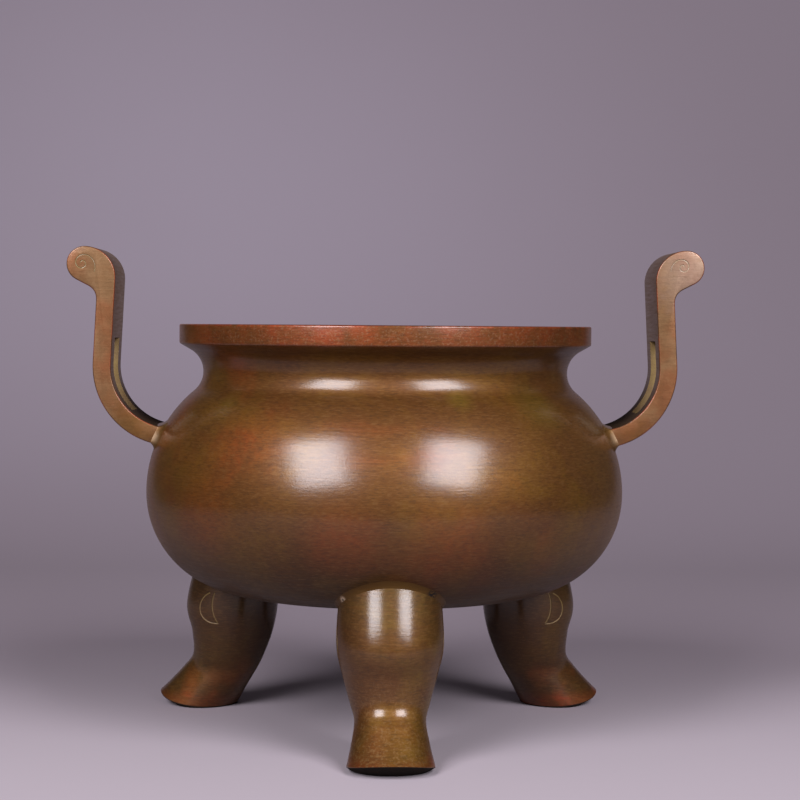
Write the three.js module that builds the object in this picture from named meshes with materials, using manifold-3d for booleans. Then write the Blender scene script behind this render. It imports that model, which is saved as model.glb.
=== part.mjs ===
// Tripod incense burner in cast copper: a round bowl with a hollow neck and a flat rim, two upright strap
// handles and three hollow legs. The castings are joined by tenons hammered over inside the bowl, and brazed.
// Millimetres and degrees, +Z up. The vessel's axis is vertical and the soles stand at height 0.
import * as THREE from "three";
import { mergeVertices, toCreasedNormals } from "three/addons/utils/BufferGeometryUtils.js";
import Module from "manifold-3d";

// Vessel: its section is a chain of arcs that run smoothly into each other
const bellyRadius = 86.3;
const bellyHeight = 85; // the widest circle, above the floor
const shoulderArc = 47.5; // section radius above the widest circle
const underArc = 36; // section radius below it
const baseAngle = 6; // slope at which the belly passes into the shallow base
const neckRadius = 66; // at the narrowest
const neckArc = 9;
const neckTurn = 60; // how far the hollow of the neck turns outward under the rim
const rimOverhang = 8.6; // of the rim beyond the neck
const rimHeight = 6.8;
const rimArris = 0.6; // small bevel on the rim's two upper edges
const wall = 3.6;
const mouthFlare = 25; // slope of the mouth's inner wall from the vertical

// Handles: a strap that leaves the shoulder, bends upright and ends in a rolled head
const strapWidth = 30;
const strapThickness = 6.4;
const strapStandoff = 14.9; // from the belly's radius to the middle of the upright strap
const strapLean = 3; // of the upright strap towards the mouth
const bendRadius = 25.1; // middle of the strap
const bendRise = 20; // the bend's lowest point above the widest circle
const uprightLength = 30; // straight strap between the bend and the head
const crownRadius = 11; // inner side of the head
const bulbRadius = 6.3; // rolled end of the head
const bulbSlope = 27; // underside of the head, from the horizontal
const crookRadius = 2.2; // hollow between the head and the strap
const slotWidth = 13;
const slotUpright = 9; // length of the slot in the upright strap
const slotTurn = 50; // how far the slot runs round the bend
const rootTurn = 120; // how far below level the bend is sure to have come inside the bowl

// Legs: sections from the sole up. Reach is how far a section's middle stands outside the leg's own middle.
const legInset = 21.3; // from the belly's radius to the middle of the leg
const legTwist = 1.3; // of the three legs about the axis, from square to the handles
const hipWidth = 33.6; // where the leg runs into the belly
const hipDepth = 29.6;
const hipHeight = 60;
const hipReach = -2.7;
const thighWidth = 36;
const thighDepth = 34;
const thighHeight = 40;
const thighReach = 0.2;
const calfWidth = 31.8;
const calfDepth = 30.3;
const calfHeight = 29;
const calfReach = 0.15;
const shinWidth = 26.8;
const shinDepth = 27.2;
const shinHeight = 20;
const shinReach = 1.8;
const ankleWidth = 23.9;
const ankleDepth = 29.2;
const ankleHeight = 14.6;
const ankleReach = 5.3;
const instepWidth = 26;
const instepDepth = 31.4;
const instepHeight = 8;
const instepReach = 10.8;
const hoofWidth = 29.2;
const hoofDepth = 30.1;
const hoofHeight = 0.4; // of the hoof's edge at the heel
const hoofReach = 15.15;
const toeLift = 4.4; // of the hoof's edge at the toe above the heel
const soleWidth = 26.8;
const soleDepth = 22;
const soleReach = 11.8;
const legWall = 4;
const legPlate = 5; // thickness of the leg's top, under the belly
const ventRadius = 3; // hole in that plate through which the core was held
const ventOffset = 10; // from the middle of the leg

// Joints
const jointGap = 0.3; // room left between pieces for the braze
const handleTenonWidth = 17;
const handleTenonThickness = 3.4;
const legTenonRadius = 4.5;
const burrSpread = 3.4; // of a hammered tenon head beyond the tenon
const burrHeight = 2.4;
const handleBead = 2.6; // leg of the braze fillet
const legBead = 1.6;
const beadHollow = 0.7; // a bead's face: 0 is hollow down to the corner, 1 is flat

// Fineness of round surfaces
const latheSides = 48;
const legSides = 20;
const legRings = 10;
const pinSides = 16;
const domeRings = 8;
const arcStep = 13; // degrees
const leastArcSteps = 2;
const outlineSteps = 5;
const beadSteps = 2; // across the hollow face of a braze bead
const strapBeadSteps = 6; // along the strap's width
const halvings = 30; // of a range in which a meeting point is sought
const smoothAngle = 30; // edges sharper than this stay crisp

const rimRadius = neckRadius + rimOverhang;
const strapReach = bellyRadius + strapStandoff;
const legReach = bellyRadius - legInset;

const library = await Module();
library.setup();

const radians = THREE.MathUtils.degToRad;
const degrees = THREE.MathUtils.radToDeg;

// Solids and surfaces

/** A closed three.js geometry as a solid for cutting and joining. */
function toSolid(geometry) {
  const bare = new THREE.BufferGeometry();
  bare.setAttribute("position", geometry.getAttribute("position"));
  bare.setIndex(geometry.index);
  const merged = mergeVertices(bare, 1e-4);
  const mesh = new library.Mesh({
    numProp: 3,
    vertProperties: merged.getAttribute("position").array,
    triVerts: new Uint32Array(merged.index.array),
  });
  return new library.Manifold(mesh);
}

/** The surface of a solid, shaded smooth except over its crisp edges. */
function toGeometry(solid) {
  const mesh = solid.getMesh();
  const geometry = new THREE.BufferGeometry();
  geometry.setAttribute("position", new THREE.BufferAttribute(mesh.vertProperties, mesh.numProp));
  geometry.setIndex(new THREE.BufferAttribute(mesh.triVerts, 1));
  return toCreasedNormals(geometry, radians(smoothAngle));
}

/** A closed skin over rings of equal length. Open stacks of rings are capped, joined ones run round. */
function skin(rings, joined) {
  const size = rings[0].length;
  const last = (rings.length - 1) * size;
  const index = [];
  const spans = joined ? rings.length : rings.length - 1;
  for (let ring = 0; ring < spans; ring += 1) {
    const here = ring * size;
    const next = ((ring + 1) % rings.length) * size;
    for (let i = 0; i < size; i += 1) {
      const j = (i + 1) % size;
      index.push(here + i, here + j, next + j);
      index.push(here + i, next + j, next + i);
    }
  }
  for (let i = 1; i < size - 1 && !joined; i += 1) {
    index.push(0, i + 1, i);
    index.push(last, last + i, last + i + 1);
  }
  const geometry = new THREE.BufferGeometry().setFromPoints(rings.flat());
  geometry.setIndex(index);
  return geometry;
}

/** Points on an arc of a section. */
function arc(centre, radius, from, to) {
  const steps = Math.max(leastArcSteps, Math.ceil(Math.abs(to - from) / arcStep));
  return Array.from({ length: steps + 1 }, (_, i) => {
    const angle = radians(from + ((to - from) * i) / steps);
    return new THREE.Vector2(centre.x + radius * Math.cos(angle), centre.y + radius * Math.sin(angle));
  });
}

/** A solid of revolution about the vessel's axis. Its section runs from the axis out, up and back. */
function turned(section) {
  return toSolid(new THREE.LatheGeometry(section, latheSides).rotateX(Math.PI / 2));
}

// Vessel

const underCentre = new THREE.Vector2(bellyRadius - underArc, bellyHeight);
const shoulderCentre = new THREE.Vector2(bellyRadius - shoulderArc, bellyHeight);
const baseArc = underArc + underCentre.x / Math.sin(radians(baseAngle));
const baseCentre = new THREE.Vector2(
  0,
  bellyHeight + (baseArc - underArc) * Math.cos(radians(baseAngle)),
);
// The neck's hollow touches the shoulder's arc, so its height follows from the radii.
const neckCentreRadius = neckRadius + neckArc;
const neckRise = Math.sqrt((shoulderArc + neckArc) ** 2 - (neckCentreRadius - shoulderCentre.x) ** 2);
const neckCentre = new THREE.Vector2(neckCentreRadius, bellyHeight + neckRise);
const shoulderTurn = degrees(Math.atan2(neckRise, neckCentreRadius - shoulderCentre.x));

/** The vessel's outer section from the axis up to where the neck has turned outward, moved out by offset. */
function vesselCurve(offset, turn) {
  return [
    new THREE.Vector2(0, baseCentre.y - baseArc - offset),
    ...arc(baseCentre, baseArc + offset, -90, baseAngle - 90).slice(1),
    ...arc(underCentre, underArc + offset, baseAngle - 90, 0).slice(1),
    ...arc(shoulderCentre, shoulderArc + offset, 0, shoulderTurn).slice(1),
    ...arc(neckCentre, neckArc - offset, shoulderTurn + 180, 180 - turn).slice(1),
  ];
}

/** The solid that the vessel fills, hollow included, up to the neck and moved out by offset. */
function vesselEnvelope(offset) {
  const curve = vesselCurve(offset, 0);
  return turned([...curve, new THREE.Vector2(0, curve.at(-1).y)]);
}

/** The height of the belly's underside at a distance from the axis, moved out by offset. */
function undersideHeight(radius, offset) {
  const onBase = radius < baseArc * Math.sin(radians(baseAngle));
  const centre = onBase ? baseCentre : underCentre;
  const size = (onBase ? baseArc : underArc) + offset;
  return centre.y - Math.sqrt(size ** 2 - (radius - centre.x) ** 2);
}

/** Section of the rim, from under its overhang to the top of the mouth's inner wall. */
function rimSection(outer, inner) {
  const lip = outer.y + (rimRadius - outer.x) / Math.tan(radians(neckTurn));
  const top = lip + rimHeight;
  const mouth = inner.x + (top - rimArris - inner.y) * Math.tan(radians(mouthFlare));
  return [
    new THREE.Vector2(rimRadius, lip),
    new THREE.Vector2(rimRadius, top - rimArris),
    new THREE.Vector2(rimRadius - rimArris, top),
    new THREE.Vector2(mouth + rimArris, top),
    new THREE.Vector2(mouth, top - rimArris),
  ];
}

function vesselBody() {
  const outer = vesselCurve(0, neckTurn);
  const inner = vesselCurve(-wall, mouthFlare);
  let solid = turned([...outer, ...rimSection(outer.at(-1), inner.at(-1)), ...inner.reverse()]);
  for (const side of handleSides) {
    solid = solid.subtract(toSolid(handleTenon(jointGap).rotateZ(radians(side.azimuth))));
  }
  for (const leg of legPlaces) {
    solid = solid.subtract(toSolid(legTenon(jointGap).rotateZ(radians(leg.azimuth))));
  }
  return solid;
}

// Handles, drawn on the +X side of the vessel

const handleSides = [
  { name: "right_handle", azimuth: 0 },
  { name: "left_handle", azimuth: 180 },
];
const bendCentre = new THREE.Vector2(strapReach - bendRadius, bellyHeight + bendRise + bendRadius);

/** A flat outline in the plane of the vessel's axis, thickened evenly to both sides of it. */
function plate(shape, width) {
  const options = { depth: width, bevelEnabled: false, curveSegments: outlineSteps };
  return new THREE.ExtrudeGeometry(shape, options)
    .translate(0, 0, -width / 2)
    .rotateX(Math.PI / 2);
}

/** Outline of a band that follows the bend between two angles and may run on straight past the second. */
function bendBand(thickness, from, to, straight) {
  const along = new THREE.Vector2(-Math.sin(radians(to)), Math.cos(radians(to))).multiplyScalar(straight);
  const out = new THREE.Vector2(Math.cos(radians(to)), Math.sin(radians(to)));
  const outerEnd = out.clone().multiplyScalar(bendRadius + thickness / 2).add(bendCentre).add(along);
  const innerEnd = out.clone().multiplyScalar(bendRadius - thickness / 2).add(bendCentre).add(along);
  const shape = new THREE.Shape();
  shape.absarc(bendCentre.x, bendCentre.y, bendRadius + thickness / 2, radians(from), radians(to), false);
  shape.lineTo(outerEnd.x, outerEnd.y);
  shape.lineTo(innerEnd.x, innerEnd.y);
  shape.absarc(bendCentre.x, bendCentre.y, bendRadius - thickness / 2, radians(to), radians(from), true);
  return shape;
}

/** Outline of the whole handle, from under the shoulder round the bend and over the rolled head. */
function handleOutline() {
  const up = new THREE.Vector2(-Math.sin(radians(strapLean)), Math.cos(radians(strapLean)));
  const out = new THREE.Vector2(up.y, -up.x);
  const strapEnd = out.clone().multiplyScalar(bendRadius).add(bendCentre).addScaledVector(up, uprightLength);
  const crown = strapEnd.clone().addScaledVector(out, crownRadius - strapThickness / 2);
  const bulb = new THREE.Vector2(crown.x, crown.y + crownRadius - bulbRadius);
  // The crook is where the underside of the head would meet the strap's outer face.
  const underside = new THREE.Vector2(Math.cos(radians(bulbSlope)), Math.sin(radians(bulbSlope)));
  const tangent = new THREE.Vector2(underside.y, -underside.x).multiplyScalar(bulbRadius).add(bulb);
  const face = strapEnd.clone().addScaledVector(out, strapThickness / 2);
  const reach = tangent.clone().sub(face).dot(out) / underside.dot(out);
  const crook = tangent.clone().addScaledVector(underside, -reach);
  const below = crook.clone().addScaledVector(up, -crookRadius);
  const beyond = crook.clone().addScaledVector(underside, crookRadius);
  const shape = new THREE.Shape();
  const lean = radians(strapLean);
  const root = radians(-rootTurn);
  shape.absarc(bendCentre.x, bendCentre.y, bendRadius + strapThickness / 2, root, lean, false);
  shape.lineTo(below.x, below.y);
  shape.quadraticCurveTo(crook.x, crook.y, beyond.x, beyond.y);
  shape.absarc(bulb.x, bulb.y, bulbRadius, radians(bulbSlope - 90), Math.PI / 2, false);
  shape.absarc(crown.x, crown.y, crownRadius, Math.PI / 2, Math.PI + lean, false);
  shape.absarc(bendCentre.x, bendCentre.y, bendRadius - strapThickness / 2, lean, root, true);
  return shape;
}

/** The flat tenon that goes on round the bend through the shoulder, grown by a clearance. */
function handleTenon(clearance) {
  const tip = rootAngle(bendRadius, 0, -wall) - degrees(burrHeight / bendRadius);
  const root = rootAngle(bendRadius, 0, strapThickness);
  const shape = bendBand(handleTenonThickness + 2 * clearance, tip, root, 0);
  return plate(shape, handleTenonWidth + 2 * clearance);
}

/** The angle round the bend at which a line of the strap comes to the shoulder, moved out by offset. */
function rootAngle(radius, across, offset) {
  let inside = -rootTurn;
  let outside = 0;
  for (let step = 0; step < halvings; step += 1) {
    const middle = (inside + outside) / 2;
    const point = bendPoint(radius, across, middle);
    const distance = Math.hypot(Math.hypot(point.x, point.y) - shoulderCentre.x, point.z - shoulderCentre.y);
    if (distance < shoulderArc + offset) inside = middle;
    else outside = middle;
  }
  return outside;
}

function bendPoint(radius, across, angle) {
  const x = bendCentre.x + radius * Math.cos(radians(angle));
  return new THREE.Vector3(x, across, bendCentre.y + radius * Math.sin(radians(angle)));
}

/** A low dome hammered out of a tenon's end, kept inside the bowl's hollow. */
function burr(centre, spreadX, spreadY) {
  const dome = new THREE.SphereGeometry(1, pinSides, domeRings).scale(spreadX, spreadY, burrHeight + wall / 2);
  return dome.translate(centre.x, centre.y, centre.z);
}

function handle() {
  const strap = toSolid(plate(handleOutline(), strapWidth));
  const slotOutline = bendBand(2 * strapThickness, strapLean - slotTurn, strapLean, slotUpright);
  const slot = toSolid(plate(slotOutline, slotWidth));
  const inner = rootAngle(bendRadius, 0, -wall);
  const head = burr(
    bendPoint(bendRadius, 0, inner),
    handleTenonThickness / 2 + burrSpread,
    handleTenonWidth / 2 + burrSpread,
  );
  return strap
    .subtract(slot)
    .subtract(vesselEnvelope(jointGap))
    .add(toSolid(handleTenon(0)))
    .add(toSolid(head).intersect(vesselEnvelope(-wall - jointGap)));
}

/** The braze bead round the root of a handle. */
function handleBraze() {
  const outline = [];
  const halfThickness = strapThickness / 2 + jointGap;
  const halfWidth = strapWidth / 2 + jointGap;
  for (let i = 0; i <= strapBeadSteps; i += 1) {
    const across = halfWidth * ((2 * i) / strapBeadSteps - 1);
    outline.push({ thick: halfThickness, across, thickOut: 1, acrossOut: cornerSign(i, strapBeadSteps) });
  }
  for (let i = strapBeadSteps; i >= 0; i -= 1) {
    const across = halfWidth * ((2 * i) / strapBeadSteps - 1);
    outline.push({ thick: -halfThickness, across, thickOut: -1, acrossOut: cornerSign(i, strapBeadSteps) });
  }
  const rings = outline.map((place) => {
    const radius = bendRadius + place.thick;
    const corner = rootAngle(radius, place.across, jointGap);
    const along = bendPoint(radius, place.across, corner + degrees(handleBead / radius));
    const outRadius = radius + place.thickOut * handleBead;
    const outAcross = place.across + place.acrossOut * handleBead;
    const across = bendPoint(outRadius, outAcross, rootAngle(outRadius, outAcross, jointGap));
    return beadSection(bendPoint(radius, place.across, corner), along, across);
  });
  return toSolid(skin(rings, true));
}

function cornerSign(i, steps) {
  if (i === 0) return -1;
  return i === steps ? 1 : 0;
}

/** Section of a braze bead: a corner between two pieces and a hollow face between its two toes. */
function beadSection(corner, along, across) {
  const middle = along.clone().lerp(across, 0.5);
  const face = new THREE.QuadraticBezierCurve3(along, corner.clone().lerp(middle, beadHollow), across);
  return [corner, ...face.getPoints(beadSteps)];
}

// Legs, drawn on the +X side of the vessel

const legPlaces = [
  { name: "front_leg", azimuth: legTwist - 90 },
  { name: "rear_right_leg", azimuth: legTwist + 30 },
  { name: "rear_left_leg", azimuth: legTwist + 150 },
];
const legSections = [
  { height: 0, reach: soleReach, width: soleWidth, depth: soleDepth, lift: 0 },
  { height: hoofHeight, reach: hoofReach, width: hoofWidth, depth: hoofDepth, lift: toeLift },
  { height: instepHeight, reach: instepReach, width: instepWidth, depth: instepDepth, lift: 0 },
  { height: ankleHeight, reach: ankleReach, width: ankleWidth, depth: ankleDepth, lift: 0 },
  { height: shinHeight, reach: shinReach, width: shinWidth, depth: shinDepth, lift: 0 },
  { height: calfHeight, reach: calfReach, width: calfWidth, depth: calfDepth, lift: 0 },
  { height: thighHeight, reach: thighReach, width: thighWidth, depth: thighDepth, lift: 0 },
  { height: hipHeight, reach: hipReach, width: hipWidth, depth: hipDepth, lift: 0 },
  { height: hipHeight + legPlate, reach: hipReach, width: hipWidth, depth: hipDepth, lift: 0 },
];
const [sole, ...flank] = legSections;
const placeCurve = new THREE.SplineCurve(flank.map((s) => new THREE.Vector2(s.reach, s.height)));
const sizeCurve = new THREE.SplineCurve(flank.map((s) => new THREE.Vector2(s.depth / 2, s.width / 2)));
const liftCurve = new THREE.SplineCurve(flank.map((s) => new THREE.Vector2(s.lift, 0)));

/** One ring of the leg's surface, at a share of the way from the hoof's edge to the top, grown evenly. */
function legRing(share, growth) {
  const place = placeCurve.getPoint(share);
  const size = sizeCurve.getPoint(share);
  return ring(place, size.x + growth, size.y + growth, liftCurve.getPoint(share).x);
}

function ring(place, halfDepth, halfWidth, lift) {
  return Array.from({ length: legSides }, (_, i) => {
    const angle = (2 * Math.PI * i) / legSides;
    const x = legReach + place.x + halfDepth * Math.cos(angle);
    const rise = lift * ((1 + Math.cos(angle)) / 2) ** 2;
    return new THREE.Vector3(x, halfWidth * Math.sin(angle), place.y + rise);
  });
}

/** Rings up the leg from the hoof's edge to inside the belly, grown evenly. */
function legStack(growth) {
  return Array.from({ length: legRings + 1 }, (_, i) => legRing(i / legRings, growth));
}

/** The leg's outer surface, running on up into the belly. */
function legForm() {
  const patch = ring({ x: sole.reach, y: 0 }, sole.depth / 2, sole.width / 2, 0);
  return toSolid(skin([patch, ...legStack(0)], false));
}

/** The leg's hollow, or with a clearance the clay core that fills it. */
function legHollow(clearance) {
  const margin = legWall + clearance;
  const floor = new THREE.BoxGeometry(4 * hoofDepth, 2 * hoofWidth, 2 * margin).translate(legReach, 0, 0);
  return toSolid(skin(legStack(-margin), false))
    .subtract(toSolid(floor))
    .subtract(vesselEnvelope(jointGap + legPlate + clearance));
}

/** The round tenon on top of a leg, grown by a clearance. */
function legTenon(clearance) {
  const foot = undersideHeight(legReach, jointGap + legPlate / 2);
  const length = legPlate / 2 + wall + burrHeight + 2 * jointGap;
  const radius = legTenonRadius + clearance;
  return new THREE.CylinderGeometry(radius, radius, length, pinSides)
    .rotateX(Math.PI / 2)
    .translate(legReach, 0, foot + length / 2);
}

function leg() {
  const floor = new THREE.Vector3(legReach, 0, undersideHeight(legReach, -wall));
  const spread = legTenonRadius + burrSpread;
  const head = toSolid(burr(floor, spread, spread)).intersect(vesselEnvelope(-wall - jointGap));
  const vent = new THREE.CylinderGeometry(ventRadius, ventRadius, 4 * legPlate, pinSides)
    .rotateX(Math.PI / 2)
    .translate(legReach - ventOffset, 0, undersideHeight(legReach - ventOffset, 0));
  return legForm()
    .subtract(vesselEnvelope(jointGap))
    .subtract(legHollow(0))
    .subtract(toSolid(vent))
    .add(toSolid(legTenon(0)))
    .add(head);
}

/** The braze bead round the top of a leg. */
function legBraze() {
  const rings = [];
  for (let i = 0; i < legSides; i += 1) {
    const corner = legSeat(i, jointGap);
    const across = legSeat(i, jointGap + legBead);
    const along = legPoint(i, jointGap, corner.z - legBead);
    rings.push(beadSection(corner, along, across));
  }
  return toSolid(skin(rings.reverse(), true));
}

/** The point at which one line of the leg's surface, grown evenly, meets the belly's underside. */
function legSeat(side, growth) {
  let height = thighHeight;
  let point = legPoint(side, growth, height);
  for (let step = 0; step < halvings; step += 1) {
    height = undersideHeight(Math.hypot(point.x, point.y), jointGap);
    point = legPoint(side, growth, height);
  }
  return point;
}

/** A point of the leg's surface, grown evenly, at a height. */
function legPoint(side, growth, height) {
  let low = 0;
  let high = 1;
  for (let step = 0; step < halvings; step += 1) {
    const middle = (low + high) / 2;
    if (legRing(middle, growth)[side].z < height) low = middle;
    else high = middle;
  }
  return legRing(high, growth)[side];
}

// The assembly

const castCopper = { color: 0x6b4a26, metalness: 0.85, roughness: 0.42 };
const paleCopper = { color: 0x9c7358, metalness: 0.85, roughness: 0.45 };
const braze = { color: 0x8a7446, metalness: 0.9, roughness: 0.35 };
const clay = { color: 0x8f6a4c, metalness: 0, roughness: 0.95 };

function piece(name, solid, finish, azimuth) {
  const mesh = new THREE.Mesh(toGeometry(solid), new THREE.MeshStandardMaterial(finish));
  mesh.name = name;
  mesh.rotation.z = radians(azimuth);
  return mesh;
}

const burner = new THREE.Group();
burner.add(piece("vessel_body", vesselBody(), castCopper, 0));
for (const side of handleSides) {
  burner.add(piece(side.name, handle(), paleCopper, side.azimuth));
  burner.add(piece(`${side.name}_braze`, handleBraze(), braze, side.azimuth));
}
for (const place of legPlaces) {
  burner.add(piece(place.name, leg(), castCopper, place.azimuth));
  burner.add(piece(`${place.name}_braze`, legBraze(), braze, place.azimuth));
  burner.add(piece(`${place.name}_core`, legHollow(jointGap), clay, place.azimuth));
}

// The origin lies under the middle of the whole object, which the forward hoof makes longer in front.
burner.position.y = -new THREE.Box3().setFromObject(burner, true).getCenter(new THREE.Vector3()).y;

export default burner;
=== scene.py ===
"""Copper tripod incense burner: a round bowl with upright strap handles on three hoofed legs.

Run as a script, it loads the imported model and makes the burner, its light, floor and camera.
All sizes are in metres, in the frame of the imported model: +X to the right handle, +Z up.
"""

from math import acos, atan2, ceil, cos, degrees, hypot, pi, radians, sin, sqrt, tan

import bmesh
import bpy
from bpy.props import FloatProperty, FloatVectorProperty, IntProperty, PointerProperty
from bpy.types import Operator, Panel, PropertyGroup
from mathutils import Matrix, Vector, noise


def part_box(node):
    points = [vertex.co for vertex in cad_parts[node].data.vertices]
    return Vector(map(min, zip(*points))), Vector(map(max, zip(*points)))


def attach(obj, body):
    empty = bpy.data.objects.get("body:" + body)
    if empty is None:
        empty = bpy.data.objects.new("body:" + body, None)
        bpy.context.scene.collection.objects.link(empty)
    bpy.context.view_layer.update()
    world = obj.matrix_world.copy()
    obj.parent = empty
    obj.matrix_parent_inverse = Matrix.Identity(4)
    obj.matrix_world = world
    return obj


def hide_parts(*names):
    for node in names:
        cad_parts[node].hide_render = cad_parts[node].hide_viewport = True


bl_info = {
    "name": "Tripod incense burner",
    "version": (1, 0, 0),
    "blender": (4, 5, 0),
    "location": "View3D > Sidebar > Burner",
    "description": "Makes a cast copper tripod incense burner with strap handles",
    "category": "Add Mesh",
}

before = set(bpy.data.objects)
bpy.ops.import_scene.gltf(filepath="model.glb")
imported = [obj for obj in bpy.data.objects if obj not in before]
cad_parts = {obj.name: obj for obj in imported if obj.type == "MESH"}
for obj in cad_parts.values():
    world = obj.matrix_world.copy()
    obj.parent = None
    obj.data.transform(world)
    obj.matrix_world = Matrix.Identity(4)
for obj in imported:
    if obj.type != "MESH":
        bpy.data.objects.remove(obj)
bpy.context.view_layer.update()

MM = 0.001
HAIR = 0.005 * MM  # what the head's outline stays inside the casting's own
POLE_MERGE = 0.002 * MM  # closes the poles of a turned form
GRAVER_SIDES = 10  # of the round tool that cuts the engraved lines
BODY = "root"
# The vessel's axis stands behind the middle of the whole, because one hoof reaches forward.
AXIS_Y = sum(corner.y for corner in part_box("vessel_body")) / 2


def linear(hex_colour):
    """An sRGB hex value as linear red, green, blue and alpha."""
    parts = [int(hex_colour[i : i + 2], 16) / 255 for i in (1, 3, 5)]
    return (*[p / 12.92 if p <= 0.04045 else ((p + 0.055) / 1.055) ** 2.4 for p in parts], 1.0)


def length(name, description, millimetres):
    return FloatProperty(
        name=name, description=description, default=millimetres * MM, unit="LENGTH", subtype="DISTANCE"
    )


def slope(name, description, degrees_):
    return FloatProperty(name=name, description=description, default=radians(degrees_), subtype="ANGLE")


def colour(name, description, hex_colour):
    return FloatVectorProperty(
        name=name, description=description, default=linear(hex_colour), size=4, subtype="COLOR", min=0, max=1
    )


# Sizes and colours


class BowlSettings(PropertyGroup):
    belly_radius: length("Belly radius", "Radius at the widest circle", 86.3)
    belly_height: length("Belly height", "Height of the widest circle", 85)
    shoulder_arc: length("Shoulder arc", "Section radius above the widest circle", 47.5)
    under_arc: length("Under arc", "Section radius below the widest circle", 36)
    base_slope: slope("Base slope", "Slope where the belly passes into the base", 6)
    neck_radius: length("Neck radius", "Radius at the narrowest", 66)
    neck_arc: length("Neck arc", "Section radius of the neck's hollow", 9)
    neck_turn: slope("Neck turn", "How far the neck's hollow turns outward", 60)
    rim_overhang: length("Rim overhang", "Reach of the rim beyond the neck", 8.6)
    rim_height: length("Rim height", "Height of the rim's outer face", 6.8)
    rim_arris: length("Rim arris", "Rounding of the rim's edges", 0.6)
    wall: length("Wall", "Thickness of the casting", 3.6)
    mouth_flare: slope("Mouth flare", "Slope of the mouth's inner wall", 25)
    sides: IntProperty(name="Sides", description="Faces round the bowl", default=240, min=24)


class HandleSettings(PropertyGroup):
    width: length("Width", "Width of the strap", 30)
    thickness: length("Thickness", "Thickness of the strap", 6.4)
    standoff: length("Standoff", "From the belly's radius to the upright strap", 14.9)
    lean: slope("Lean", "Lean of the upright strap towards the mouth", 3)
    bend: length("Bend", "Radius of the bend at the strap's middle", 25.1)
    rise: length("Rise", "Height of the bend's lowest point above the widest circle", 20)
    upright: length("Upright", "Straight strap between the bend and the head", 30)
    crown: length("Crown", "Radius of the head's inner side", 11)
    bulb: length("Bulb", "Radius of the head's rolled end", 6.3)
    underside: slope("Underside", "Slope of the head's underside", 27)
    crook: length("Crook", "Hollow between the head and the strap", 2.2)
    slot_width: length("Slot width", "Width of the slot", 13)
    slot_upright: length("Slot upright", "Length of the slot in the upright strap", 9)
    slot_turn: slope("Slot turn", "How far the slot runs round the bend", 50)
    root_turn: slope("Root turn", "How far below level the strap ends inside the wall", 86)
    arris: length("Arris", "Rounding of the strap's edges", 0.5)
    tenon_width: length("Tenon width", "Width of the tenon that is hammered over inside", 17)
    tenon_thickness: length("Tenon thickness", "Thickness of that tenon", 3.4)
    line: length("Line", "Half the width of an engraved line", 0.24)


class LegSettings(PropertyGroup):
    inset: length("Inset", "From the belly's radius to the middle of a leg", 21.3)
    twist: slope("Twist", "Turn of the three legs from square to the handles", 1.3)
    toe_lift: length("Toe lift", "Height of the hoof's edge at the toe above the heel", 4.4)
    tenon: length("Tenon", "Radius of the tenon that is hammered over inside", 4.5)
    line: length("Line", "Half the width of an engraved line", 0.32)
    sides: IntProperty(name="Sides", description="Faces round a leg", default=112, min=24)
    rings: IntProperty(name="Rings", description="Rings up a leg", default=96, min=24)


class JointSettings(PropertyGroup):
    handle_bead: length("Handle bead", "Leg of the braze fillet at a handle", 2.6)
    leg_bead: length("Leg bead", "Leg of the braze fillet at a leg", 1.6)
    head_spread: length("Head spread", "Reach of a hammered head beyond its tenon", 3.4)
    head_height: length("Head height", "Height of a hammered head", 2.6)


class FinishSettings(PropertyGroup):
    olive: colour("Olive", "Olive-brown patina of the bowl", "#563909")
    umber: colour("Umber", "Darker brown patina", "#472808")
    russet: colour("Russet", "Redder copper showing through", "#6a2e0b")
    gold: colour("Gold", "Golden-green stain", "#5c4a0e")
    ember: colour("Ember", "Orange-red copper of the rim and edges", "#702b0f")
    tan: colour("Tan", "Pinkish tan of the handles", "#63492e")
    # Painted highlight: this pale brass is laid as highlights on the handle fillets and as glints at the
    # pinhole and pits.
    brass: colour("Brass", "Filler metal where it is rubbed", "#b09a80")
    # Pale also makes the rim's painted glints and the straps' painted sheen.
    pale: colour("Pale", "Paler, greyer patina on the right head", "#8c7769")
    thread: colour("Line", "Paler metal in the engraved lines and inside the slots", "#624d29")
    # Painted shade: this dark, besides real dark scratches, is painted under the hooves, under the bowl, low
    # in the straps' bend, on the legs behind, in the corners under the belly, and in the pinhole and pits.
    scale: colour("Scale", "Dark casting scale, soot, and whatever no cloth reaches", "#17110d")
    clay: colour("Clay", "Fired casting core", "#8f6a4c")


class StageSettings(PropertyGroup):
    # Painted light: these paper colours paint the soft boxes' light, brightest in front and round a point on
    # the wall, with its falloff behind the burner.
    backdrop: colour("Backdrop", "Lilac-grey paper sweep, where it is brightest in front", "#80777c")
    far: colour("Far backdrop", "The same paper behind the burner", "#71666d")
    wall: colour("Wall backdrop", "The same paper where it hangs", "#877d87")
    key_power: FloatProperty(name="Key power", description="Power of each soft box", default=29.5, min=0)
    fill: FloatProperty(name="Fill", description="Strength of the room's light", default=0.06, min=0)


GROUPS = {
    "burner_bowl": BowlSettings,
    "burner_handles": HandleSettings,
    "burner_legs": LegSettings,
    "burner_joints": JointSettings,
    "burner_finish": FinishSettings,
    "burner_stage": StageSettings,
}

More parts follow.
